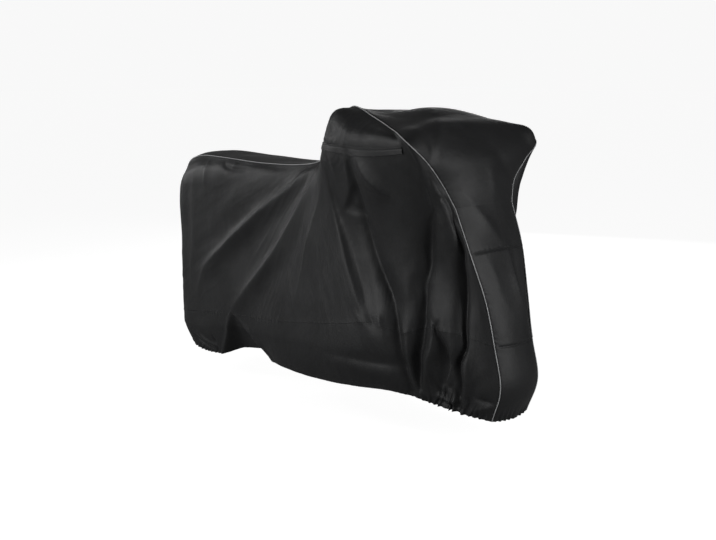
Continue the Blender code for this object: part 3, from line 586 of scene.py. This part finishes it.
def gathers(x, from_hem, along, hand):
    """Small folds that the elastic draws in near the hem, strongest at the wheels."""
    front = bell(x - FRONT_GATHER_X, 0.17)
    strength = 0.04 + 1.0 * front + 0.65 * bell(x - REAR_GATHER_X, 0.16)
    seed = 11 if hand < 0 else 23
    warp = along + 0.010 * noise(along, from_hem, 0.05, 0.06, seed)
    warp = warp + 0.25 * from_hem * noise_along(along, 0.08, seed + 1)
    phase = 2 * math.pi * (warp / GATHER_PITCH + 0.7 * noise_along(warp, 0.06, seed + 2))
    wave = np.sin(phase) + 0.45 * np.sin(1.7 * phase + 1.3)
    knot = bell(x - KNOT_X, 0.075)
    wave += 1.3 * knot * (1 - 2 * np.abs(np.sin(0.62 * phase + 0.9)))
    reach = 0.030 + 0.022 * noise_along(along, 0.035, seed + 3) + 0.022 * front
    return GATHER_HIGH * strength * wave * bell(from_hem, reach + 0.012 * knot, 1.5)


def seam_puckers(along, from_seam, seed):
    """Short wrinkles that run off a stitched seam on both sides."""
    phase = 2 * math.pi * (along / PUCKER_PITCH + 1.5 * noise_along(along, 0.050, seed))
    size = np.clip(0.35 + 1.3 * noise_along(along, 0.10, seed + 1), 0.0, 1.3)
    reach = 0.014 + 0.006 * noise_along(along, 0.03, seed + 2)
    return PUCKER_HIGH * size * np.sin(phase) * bell(from_seam, reach)


def edge_puckers(along, from_edge, seed):
    """The same at a panel's edge, where they start just off the piping."""
    return seam_puckers(along, from_edge, seed) * smooth_step(from_edge, 0, 0.006)


def lap(above):
    """The upper cloth stands proud where it laps the lower one; above is the height over the seam."""
    proud, sunk = np.exp(-np.abs(above) / LAP_WIDTH), -0.25 * np.exp(above / LAP_WIDTH)
    return LAP_RISE * np.where(above > 0.0008, proud, sunk)


def crumple(x, y, seed):
    """The cloth's own unevenness: soft waves and a finer one."""
    x, y = x + 0.05 * noise(x, y, 0.21, 0.24, seed + 5), y + 0.05 * noise(x, y, 0.23, 0.19, seed + 6)
    soft = 0.0026 * noise(x, y, 0.110, 0.210, seed) + 0.0008 * noise(x, y, 0.050, 0.085, seed + 1)
    return soft + 0.00025 * noise(x, y, 0.022, 0.030, seed + 4)


def streaks(x, z, seed):
    """Faint sharp drag lines: they fan out rearwards from behind the bars and hang straight at the front."""
    fan = 0.7 * np.arctan2(x - 0.08, 1.12 - z)
    upright = smooth_step(x, 0.20, 0.50)
    across = (1 - upright) * fan + upright * x + 0.015 * noise(x, z, 0.16, 0.21, seed)
    wide = np.clip(1 - 2 * np.abs(noise(across, z, 0.060, 0.33, seed + 1)), 0, 1)
    narrow = np.clip(1 - 2 * np.abs(noise(across, z, 0.024, 0.19, seed + 2)), 0, 1)
    where = np.clip(0.5 + noise(x, z, 0.25, 0.22, seed + 3), 0, 1)
    return where * (0.0016 * wide + 0.0010 * narrow)


def press(points, patches, normals, v, q):
    """Moves the skin along its normals by its creases, gathers, seams and unevenness."""
    out = np.zeros(len(points))
    seam = row_at(v, SKIRT_SEAM_LEVEL)
    runs = {}
    for name, hand, creases, seed in (("right", -1, RIGHT_CREASES, 100), ("left", 1, LEFT_CREASES, 300)):
        ids = patches[name]
        grid = points[ids]
        x, z = grid[..., 0], grid[..., 2]
        along, down = run_of(grid, 0), run_of(grid, 1)
        above = down[:, seam:seam + 1] - down
        from_hem = down[:, -1:] - down
        from_ends = np.minimum(along, along[-1:] - along)
        flat = grid[..., [0, 2]].reshape(-1, 2)
        heights = (crease_heights(flat, creases) + tuck_heights(flat, hand)).reshape(ids.shape)
        heights += crumple(x, z, seed) + streaks(x, z, seed + 10) + gathers(x, from_hem, along, hand)
        heights *= smooth_step(from_ends, 0, FADE_BY_PIPING) * smooth_step(down, 0, FADE_BY_PIPING)
        heights += seam_puckers(along, np.abs(above), seed + 40) * smooth_step(from_ends, 0, 0.02)
        heights += edge_puckers(down + along, from_ends, seed + 50) + edge_puckers(along, down, seed + 60)
        heights += lap(above) - TURN_IN * bell(np.minimum(from_ends, down), SEAM_WIDTH)
        out[ids] = heights - HEM_DEPTH * bell(from_hem - HEM_UP, HEM_WIDTH)
        runs[name] = np.stack((along, down), axis=-1)
    ids = patches["strip"]
    grid = points[ids]
    across, along = run_of(grid, 0), run_of(grid, 1)
    from_edge = np.minimum(across, across[-1:] - across)
    keep = smooth_step(from_edge, 0, 0.03)
    heights = strip_crease_heights(grid.reshape(-1, 3)).reshape(ids.shape)
    heights += 0.7 * crumple(along, across - 0.5 * across[-1:] + 5.0, 500) * keep
    heights += edge_puckers(along, from_edge, 560) - TURN_IN * bell(from_edge, SEAM_WIDTH)
    for row in (FRONT_SEAM_ROW, HOOD_SEAM_ROW, REAR_SEAM_ROW):
        column = row_at(q, row)
        above = along - along[:, column:column + 1]
        heights += lap(-above if row == REAR_SEAM_ROW else above)
        heights += 0.6 * seam_puckers(across, np.abs(above), 570 + row) * keep
        heights -= STRIP_SEAM_DEPTH * bell(above, STRIP_SEAM_WIDTH) * keep
    for from_hem, seed in ((along, 31), (along[:, -1:] - along, 37)):
        phase = 2 * math.pi * (across / STRIP_GATHER_PITCH + 0.8 * noise_along(across, 0.05, seed))
        heights += STRIP_GATHER_HIGH * np.sin(phase) * bell(from_hem, 0.03, 1.5) * keep
        heights -= HEM_DEPTH * bell(from_hem - HEM_UP, HEM_WIDTH)
    out[ids[1:-1]] = heights[1:-1]
    runs["strip"] = np.stack((across, along), axis=-1)
    return points + out[:, None] * normals, runs


# ---- materials


def fill(tree, node, **settings):
    """Sets a node's sockets and properties by name; a socket given another node's output is linked."""
    for name, value in settings.items():
        socket = node.inputs.get(name.replace("_", " "))
        if socket is None:
            setattr(node, name, value)
        elif isinstance(value, bpy.types.NodeSocket):
            tree.links.new(value, socket)
        else:
            socket.default_value = value


def output_of(tree, kind, **settings):
    """The first output of a new node with these settings."""
    node = tree.nodes.new(kind)
    fill(tree, node, **settings)
    return node.outputs[0]


def math_node(tree, operation, *values):
    node = tree.nodes.new("ShaderNodeMath")
    node.operation = operation
    for socket, value in zip(node.inputs, values):
        if isinstance(value, (int, float)):
            socket.default_value = value
        else:
            tree.links.new(value, socket)
    return node.outputs[0]


def ramp(tree, factor, *stops):
    """Colour that goes from one stop to the next: (place, colour)."""
    node = tree.nodes.new("ShaderNodeValToRGB")
    for element, (place, colour) in zip(node.color_ramp.elements, stops):
        element.position, element.color = place, (*colour, 1)
    tree.links.new(factor, node.inputs[0])
    return node.outputs[0]


def new_material(name):
    """A material, its nodes, its shader, and the cloth coordinates in metres: both, along and across."""
    material = bpy.data.materials.new(name)
    material.use_nodes = True
    tree = material.node_tree
    uv = output_of(tree, "ShaderNodeUVMap", uv_map="cloth")
    split = tree.nodes.new("ShaderNodeSeparateXYZ")
    tree.links.new(uv, split.inputs[0])
    return material, tree, tree.nodes["Principled BSDF"], uv, split.outputs["X"], split.outputs["Y"]


def cloth_material():
    """Black woven polyester with a soft coating: a fine weave, faint packing marks, a little dust."""
    material, tree, shader, uv, x, y = new_material("coated_black_cloth")

    # The weave: two sets of threads, each going over and under the other.
    turns = 2 * math.pi / WEAVE_PITCH
    warp = math_node(tree, "SINE", math_node(tree, "MULTIPLY", x, turns))
    weft = math_node(tree, "SINE", math_node(tree, "MULTIPLY", y, turns))
    weave = math_node(tree, "MULTIPLY", warp, weft)

    wear = output_of(tree, "ShaderNodeTexNoise", Vector=uv, Scale=5.0, Detail=5.0, Roughness=0.6)
    marks = output_of(tree, "ShaderNodeTexNoise", Vector=uv, Scale=38.0, Detail=4.0, Roughness=0.55)
    slubs = output_of(tree, "ShaderNodeMapping", Vector=uv, Scale=(60.0, 900.0, 1.0))
    thread = output_of(tree, "ShaderNodeTexNoise", Vector=slubs, Scale=1.0, Detail=2.0, Roughness=0.5)
    tone = math_node(tree, "ADD", math_node(tree, "MULTIPLY", wear, 0.7),
                     math_node(tree, "MULTIPLY", thread, 0.3))
    rough = output_of(tree, "ShaderNodeMapRange", Value=wear, From_Min=0.3, From_Max=0.7,
                      To_Min=0.47, To_Max=0.60)
    bump = output_of(tree, "ShaderNodeBump", Height=weave, Strength=0.35, Distance=0.00012)
    bump = output_of(tree, "ShaderNodeBump", Height=marks, Normal=bump, Strength=0.5, Distance=0.0016)
    colour = ramp(tree, tone, (0.30, (0.0115, 0.0118, 0.0125)), (0.72, (0.0205, 0.0209, 0.0218)))
    fill(tree, shader, Base_Color=colour, Roughness=rough, Normal=bump, Specular_IOR_Level=0.42,
         Sheen_Weight=0.06, Sheen_Roughness=0.45)
    return material


def piping_material():
    """Light grey reflective cord in a fine knitted cover."""
    material, tree, shader, uv, x, y = new_material("reflective_cord")
    along = math_node(tree, "MULTIPLY", x, 2 * math.pi / KNIT_ALONG)
    around = math_node(tree, "MULTIPLY", y, 2 * math.pi / KNIT_AROUND)
    knit = math_node(tree, "SINE", math_node(tree, "ADD", along, around))
    grime = output_of(tree, "ShaderNodeTexNoise", Vector=uv, Scale=22.0, Detail=4.0, Roughness=0.6)
    colour = ramp(tree, grime, (0.32, (0.36, 0.364, 0.37)), (0.60, (0.52, 0.524, 0.53)))
    rough = output_of(tree, "ShaderNodeMapRange", Value=grime, To_Min=0.42, To_Max=0.30)
    bump = output_of(tree, "ShaderNodeBump", Height=knit, Strength=0.5, Distance=0.00015)
    fill(tree, shader, Base_Color=colour, Roughness=rough, Normal=bump)
    return material


def thread_material():
    """Black polyester sewing thread, a little glossier than the cloth."""
    material, tree, shader, *_ = new_material("black_thread")
    fibre = output_of(tree, "ShaderNodeTexNoise", Scale=900.0, Detail=2.0, Roughness=0.5)
    colour = ramp(tree, fibre, (0.35, (0.016, 0.016, 0.017)), (0.65, (0.032, 0.032, 0.034)))
    fill(tree, shader, Base_Color=colour, Roughness=0.45)
    return material


# ---- pieces


def mesh_of(name, points, quads, coordinates, material):
    """An object of four-sided faces, with cloth coordinates in metres, put where the frame has it."""
    mesh = bpy.data.meshes.new(name)
    mesh.vertices.add(len(points))
    mesh.vertices.foreach_set("co", (points - SADDLE).astype(np.float32).ravel())
    mesh.loops.add(quads.size)
    mesh.loops.foreach_set("vertex_index", quads.astype(np.int32).ravel())
    mesh.polygons.add(len(quads))
    mesh.polygons.foreach_set("loop_start", np.arange(0, quads.size, 4, dtype=np.int32))
    mesh.update(calc_edges=True)
    mesh.polygons.foreach_set("use_smooth", np.ones(len(quads), bool))
    layer = mesh.uv_layers.new(name="cloth")
    layer.data.foreach_set("uv", coordinates[quads.ravel()].astype(np.float32).ravel())
    mesh.materials.append(material)
    mesh.validate()
    piece = bpy.data.objects.new(name, mesh)
    bpy.context.collection.objects.link(piece)
    return piece


def grid_mesh(name, grid, coordinates, material, turned=False):
    """A sheet from a grid of points."""
    ids = np.arange(grid.shape[0] * grid.shape[1]).reshape(grid.shape[:2])
    quads = np.stack(corners(ids), axis=-1).reshape(-1, 4)
    quads = quads[:, ::-1] if turned else quads
    return mesh_of(name, grid.reshape(-1, 3), quads, coordinates.reshape(-1, 2), material)


def with_hem(points, normals, cloth, hem_at):
    """Adds the turned-in hem to a grid whose last or first column is the hem."""
    if hem_at == "first":
        points, normals, cloth = points[:, ::-1], normals[:, ::-1], cloth[:, ::-1]
    past = points[:, -1:] - points[:, -2:-1]
    past /= np.maximum(np.linalg.norm(past, axis=2, keepdims=True), 1e-9)
    rolled = points[:, -1:] - 0.6 * CLOTH_T * normals[:, -1:] + 0.8 * CLOTH_T * past
    back = points[:, -2:-2 - HEM_TURN:-1] - 1.3 * CLOTH_T * normals[:, -2:-2 - HEM_TURN:-1]
    grid = np.concatenate([points, rolled, back], axis=1)
    step = cloth[:, -1:] - cloth[:, -2:-1]
    more = [cloth[:, -1:] + (k + 1) * 0.6 * step for k in range(HEM_TURN + 1)]
    coordinates = np.concatenate([cloth] + more, axis=1)
    return (grid[:, ::-1], coordinates[:, ::-1]) if hem_at == "first" else (grid, coordinates)


def tube(name, path, normals, material):
    """Round cord along a path, open at its ends."""
    tangent = np.gradient(path, axis=0)
    tangent /= np.linalg.norm(tangent, axis=1)[:, None]
    side = np.cross(tangent, normals)
    side /= np.linalg.norm(side, axis=1)[:, None]
    up = np.cross(side, tangent)
    angles = np.linspace(0, 2 * math.pi, PIPING_SIDES, endpoint=False)
    ring = np.cos(angles)[None, :, None] * side[:, None] + np.sin(angles)[None, :, None] * up[:, None]
    points = (path[:, None] + PIPING_R * ring).reshape(-1, 3)
    ids = np.arange(len(points)).reshape(-1, PIPING_SIDES)
    quads = np.stack(corners(np.concatenate([ids, ids[:, :1]], axis=1)), axis=-1).reshape(-1, 4)
    run = run_of(path[:, None], 0)
    coordinates = np.stack(np.broadcast_arrays(run, PIPING_R * angles[None]), axis=-1).reshape(-1, 2)
    return mesh_of(name, points, quads, coordinates, material)


def beside(both, distance):
    """The line in a grid of points and normals at that distance from its first row, down each column."""
    run = run_of(both[..., :3], 0)
    line = np.array([[np.interp(distance, run[:, j], both[:, j, k]) for k in range(6)]
                     for j in range(both.shape[1])])
    return line[:, :3], line[:, 3:] / np.linalg.norm(line[:, 3:], axis=1)[:, None]


def stitches(name, lines, material):
    """One small stitch after another along each line: (path, normals)."""
    all_points, all_quads, all_uv = [], [], []
    made = 0
    for path, normals in lines:
        run = run_of(path[:, None], 0)[:, 0]
        middles = np.arange(STITCH_PITCH, run[-1] - STITCH_PITCH, STITCH_PITCH)

        def at(where, values):
            return np.stack([np.interp(where, run, values[:, k]) for k in range(3)], axis=1)

        ends = [at(middles + place * STITCH_LONG, path) for place, up, wide in STITCH_RINGS]
        normal = at(middles, normals)
        along = ends[3] - ends[0]
        along /= np.linalg.norm(along, axis=1)[:, None]
        side = np.cross(along, normal)
        rings = []
        for end, (place, up, wide) in zip(ends, STITCH_RINGS):
            centre = end + up * normal
            rings.append(np.stack([centre + wide * side, centre + wide * normal,
                                   centre - wide * side, centre - wide * normal], axis=1))
        ids = np.arange(len(middles) * 16).reshape(-1, 4, 4) + made
        ring_ids = np.concatenate([ids, ids[..., :1]], axis=2)
        all_points.append(np.stack(rings, axis=1).reshape(-1, 3))
        all_quads.append(np.stack(corners(ring_ids), axis=-1).reshape(-1, 4))
        uv = np.broadcast_arrays(middles[:, None], 0.001 * np.arange(16)[None])
        all_uv.append(np.stack(uv, axis=-1).reshape(-1, 2))
        made += ids.size
    return mesh_of(name, *map(np.concatenate, (all_points, all_quads, all_uv)), material)


def flap_sheet(hand, side, normals):
    """Grid of points and outward normals of a vent flap, sewn along its top and free below."""
    rows = catmull(FLAP_ROWS, np.linspace(0, len(FLAP_ROWS) - 1, FLAP_LONG + 1))
    flat = side[..., [0, 2]]
    facing = normals[..., 1] * hand > 0.30
    points = np.zeros((FLAP_LONG + 1, FLAP_DEEP + 1, 3))
    turned = np.zeros_like(points)
    shares = np.linspace(0, 1, FLAP_DEEP + 1)
    seed = 71 if hand < 0 else 83
    for i, (x, sewn_z, free_z) in enumerate(rows):
        sag = 0.0025 * float(noise_along(np.array(x), 0.09, seed))
        for j, share in enumerate(shares):
            target = np.array((x, sewn_z + share * (free_z + sag - sewn_z)))
            away = ((flat - target) ** 2).sum(axis=2)
            away[~facing] = np.inf
            k = np.unravel_index(away.argmin(), away.shape)
            low = (max(k[0] - 2, 0), max(k[1] - 2, 0))
            patch = np.s_[low[0]:k[0] + 3, low[1]:k[1] + 3]
            weight = np.exp(-away[patch] / 0.006 ** 2)[..., None]
            weight /= weight.sum()
            points[i, j] = (side[patch] * weight).sum(axis=(0, 1))
            turned[i, j] = (normals[patch] * weight).sum(axis=(0, 1))
            points[i, j, 0], points[i, j, 2] = target
    for _ in range(6):
        for grid in (points[..., 1:2], turned):
            grid[1:-1] = 0.25 * grid[:-2] + 0.5 * grid[1:-1] + 0.25 * grid[2:]
            grid[:, 1:-1] = 0.25 * grid[:, :-2] + 0.5 * grid[:, 1:-1] + 0.25 * grid[:, 2:]
    turned /= np.linalg.norm(turned, axis=2, keepdims=True)
    wave = 1 + 0.35 * noise_along(rows[:, 0], 0.055, seed + 1)
    lift = FLAP_SEWN + (shares[None] ** 1.3) * (FLAP_FREE - FLAP_SEWN) * wave[:, None]
    lift = lift - 0.0009 * bell(shares[None] - 0.30, 0.07)
    return points + lift[..., None] * turned, turned


def build():
    """Makes every piece and returns them by name."""
    cloth, cord, thread = cloth_material(), piping_material(), thread_material()
    points, patches, v, q = build_skin()
    points = push_bumps(points, skin_normals(points, patches))
    hung, cloth_at = press(points, patches, skin_normals(points, patches), v, q)
    hung_normals = skin_normals(hung, patches)
    skin = tilt_bars(hung)
    normals = skin_normals(skin, patches)
    seam = row_at(v, SKIRT_SEAM_LEVEL)
    front, hood, rear = (row_at(q, row) for row in (FRONT_SEAM_ROW, HOOD_SEAM_ROW, REAR_SEAM_ROW))
    made = {}

    def show(piece, node):
        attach(piece, "root")
        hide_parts(node)
        made[piece.name] = piece

    for name, node, patch, cut, hem_at in (
        ("right_side_cloth", "right_side_panel", "right", np.s_[:, :seam + 1], None),
        ("left_side_cloth", "left_side_panel", "left", np.s_[:, :seam + 1], None),
        ("right_skirt_cloth", "right_skirt", "right", np.s_[:, seam:], "last"),
        ("left_skirt_cloth", "left_skirt", "left", np.s_[:, seam:], "last"),
        ("front_skirt_cloth", "front_skirt", "strip", np.s_[:, :front + 1], "first"),
        ("mudguard_cloth", "mudguard_panel", "strip", np.s_[:, front:hood + 1], None),
        ("hood_and_top_cloth", "hood_and_top_panel", "strip", np.s_[:, hood:rear + 1], None),
        ("rear_skirt_cloth", "rear_skirt", "strip", np.s_[:, rear:], "last"),
    ):
        ids = patches[patch][cut]
        grid, coordinates = skin[ids], cloth_at[patch][cut]
        if hem_at:
            grid, coordinates = with_hem(grid, normals[ids], coordinates, hem_at)
        show(grid_mesh(name, grid, coordinates, cloth, patch == "left"), node)

    for name, node, ids in (("right_cord", "right_piping", patches["strip"][0]),
                            ("left_cord", "left_piping", patches["strip"][-1])):
        path = skin[ids] + (PIPING_R - PIPING_SUNK) * normals[ids]
        show(tube(name, path, normals[ids], cord), node)

    lines = []
    for name, node, hand, patch in (("right_flap_cloth", "right_vent_flap", -1, "right"),
                                    ("left_flap_cloth", "left_vent_flap", 1, "left")):
        upper = patches[patch][:, :row_at(v, 2.0)]
        sheet, turned = flap_sheet(hand, hung[upper], hung_normals[upper])
        outer, inner = tilt_bars(sheet + CLOTH_T * turned), tilt_bars(sheet)
        ring = np.concatenate([outer, inner[:, ::-1], outer[:, :1]], axis=1)
        run = np.stack([run_of(ring, 0), run_of(ring, 1)], axis=-1)
        show(grid_mesh(name, ring, run, cloth, hand > 0), node)
        for place in FLAP_STITCHES:
            column = int(round(place * FLAP_DEEP))
            lines.append((outer[:, column], turned[:, column]))

    both = np.concatenate([skin, normals], axis=1)
    rows = []
    for patch in ("right", "left"):
        sections, levels = both[patches[patch]][:, 1:], both[patches[patch].T]
        rows += [(levels, BY_PIPING), (sections, BY_PIPING), (sections[::-1], BY_PIPING)]
        rows += [(levels[seam:], BY_SEAM), (levels[seam::-1], BY_SEAM), (levels[::-1], BY_HEM)]
    strip, columns = both[patches["strip"]], both[patches["strip"].T]
    rows += [(strip, BY_PIPING), (strip[::-1], BY_PIPING)]
    for column in (front, hood, rear):
        rows += [(columns[column:], BY_SEAM), (columns[column::-1], BY_SEAM)]
    rows += [(columns, BY_HEM), (columns[::-1], BY_HEM)]
    lines += [beside(grid, distance) for grid, distance in rows]
    piece = stitches("seam_stitching", lines, thread)
    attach(piece, "root")
    return made


made = build()

# ---- floor, light and camera

GROUND_Z = -SADDLE[2]
FLOOR = 60.0
WHITE = (1, 1, 1, 1)
FLOOR_PLAIN, FLOOR_GLOW = (0.30, 0.30, 0.30, 1), 0.93
SKY_SEEN, SKY_LIGHT = 0.94, 0.04

# Name, azimuth (0 is the motorcycle's right side, 90 its front), elevation, distance, width, height
# and power of each soft light. All aim at one point.
LIGHTS = (
    ("key", -54, 20, 4.0, 1.2, 1.2, 23),
    ("crest", -81, 11, 4.0, 0.8, 0.8, 11),
    ("soft", -10, 8, 5.0, 2.0, 1.4, 90),
    ("fill", 93, 13, 5.0, 1.4, 2.5, 92),
    ("far", 205, 12, 5.0, 2.5, 2.0, 55),
)
LIGHTS_AIM = Vector((0.0, 0.0, -0.3))

CAMERA_AT = Vector((3.434, -3.411, 1.412)) - Vector(SADDLE)
CAMERA_AIM = Vector((0.0815, 0.0, 0.569)) - Vector(SADDLE)
SENSOR, LENS = 36.0, 57.82


def to_surface(tree, seen, lighting, end):
    """Gives the camera one shader and every other ray another."""
    mix = tree.nodes.new("ShaderNodeMixShader")
    rays = tree.nodes.new("ShaderNodeLightPath")
    for source, socket in zip((rays.outputs["Is Camera Ray"], lighting, seen), mix.inputs):
        tree.links.new(source, socket)
    tree.links.new(mix.outputs[0], tree.nodes[end].inputs["Surface"])


def floor_material():
    """Pale studio floor. What it sends to the cloth is dimmer than it looks, as with a far white sweep."""
    material = bpy.data.materials.new("pale_floor")
    material.use_nodes = True
    tree = material.node_tree
    tree.nodes.remove(tree.nodes["Principled BSDF"])
    plain = output_of(tree, "ShaderNodeBsdfDiffuse", Color=FLOOR_PLAIN)
    glow = output_of(tree, "ShaderNodeEmission", Color=WHITE, Strength=FLOOR_GLOW)
    both = tree.nodes.new("ShaderNodeAddShader")
    tree.links.new(plain, both.inputs[0])
    tree.links.new(glow, both.inputs[1])
    to_surface(tree, both.outputs[0], plain, "Material Output")
    return material


def add_light(name, azimuth, elevation, distance, width, height, power):
    az, el = math.radians(azimuth), math.radians(elevation)
    away = Vector((math.sin(az) * math.cos(el), -math.cos(az) * math.cos(el), math.sin(el)))
    data = bpy.data.lights.new(name, "AREA")
    data.shape = "RECTANGLE"
    data.size, data.size_y, data.energy = width, height, power
    lamp = bpy.data.objects.new(name, data)
    lamp.location = LIGHTS_AIM + distance * away
    lamp.rotation_euler = (-away).to_track_quat("-Z", "Y").to_euler()
    bpy.context.collection.objects.link(lamp)


floor_mesh = bpy.data.meshes.new("floor")
floor_mesh.from_pydata([(-FLOOR, -FLOOR, GROUND_Z), (FLOOR, -FLOOR, GROUND_Z),
                        (FLOOR, FLOOR, GROUND_Z), (-FLOOR, FLOOR, GROUND_Z)], [], [(0, 1, 2, 3)])
floor_mesh.materials.append(floor_material())
floor = bpy.data.objects.new("floor", floor_mesh)
bpy.context.collection.objects.link(floor)

for light in LIGHTS:
    add_light(*light)

world = bpy.data.worlds.new("studio")
world.use_nodes = True
bpy.context.scene.world = world
sky = world.node_tree
background = sky.nodes["Background"]
fill(sky, background, Color=WHITE, Strength=SKY_SEEN)
ambient = output_of(sky, "ShaderNodeBackground", Color=WHITE, Strength=SKY_LIGHT)
to_surface(sky, background.outputs[0], ambient, "World Output")

camera_data = bpy.data.cameras.new("camera")
camera_data.sensor_width = SENSOR
camera_data.lens = LENS
camera = bpy.data.objects.new("camera", camera_data)
camera.location = CAMERA_AT
camera.rotation_euler = (CAMERA_AIM - CAMERA_AT).to_track_quat("-Z", "Y").to_euler()
bpy.context.collection.objects.link(camera)
bpy.context.scene.camera = camera
bpy.context.scene.view_settings.view_transform = "Standard"
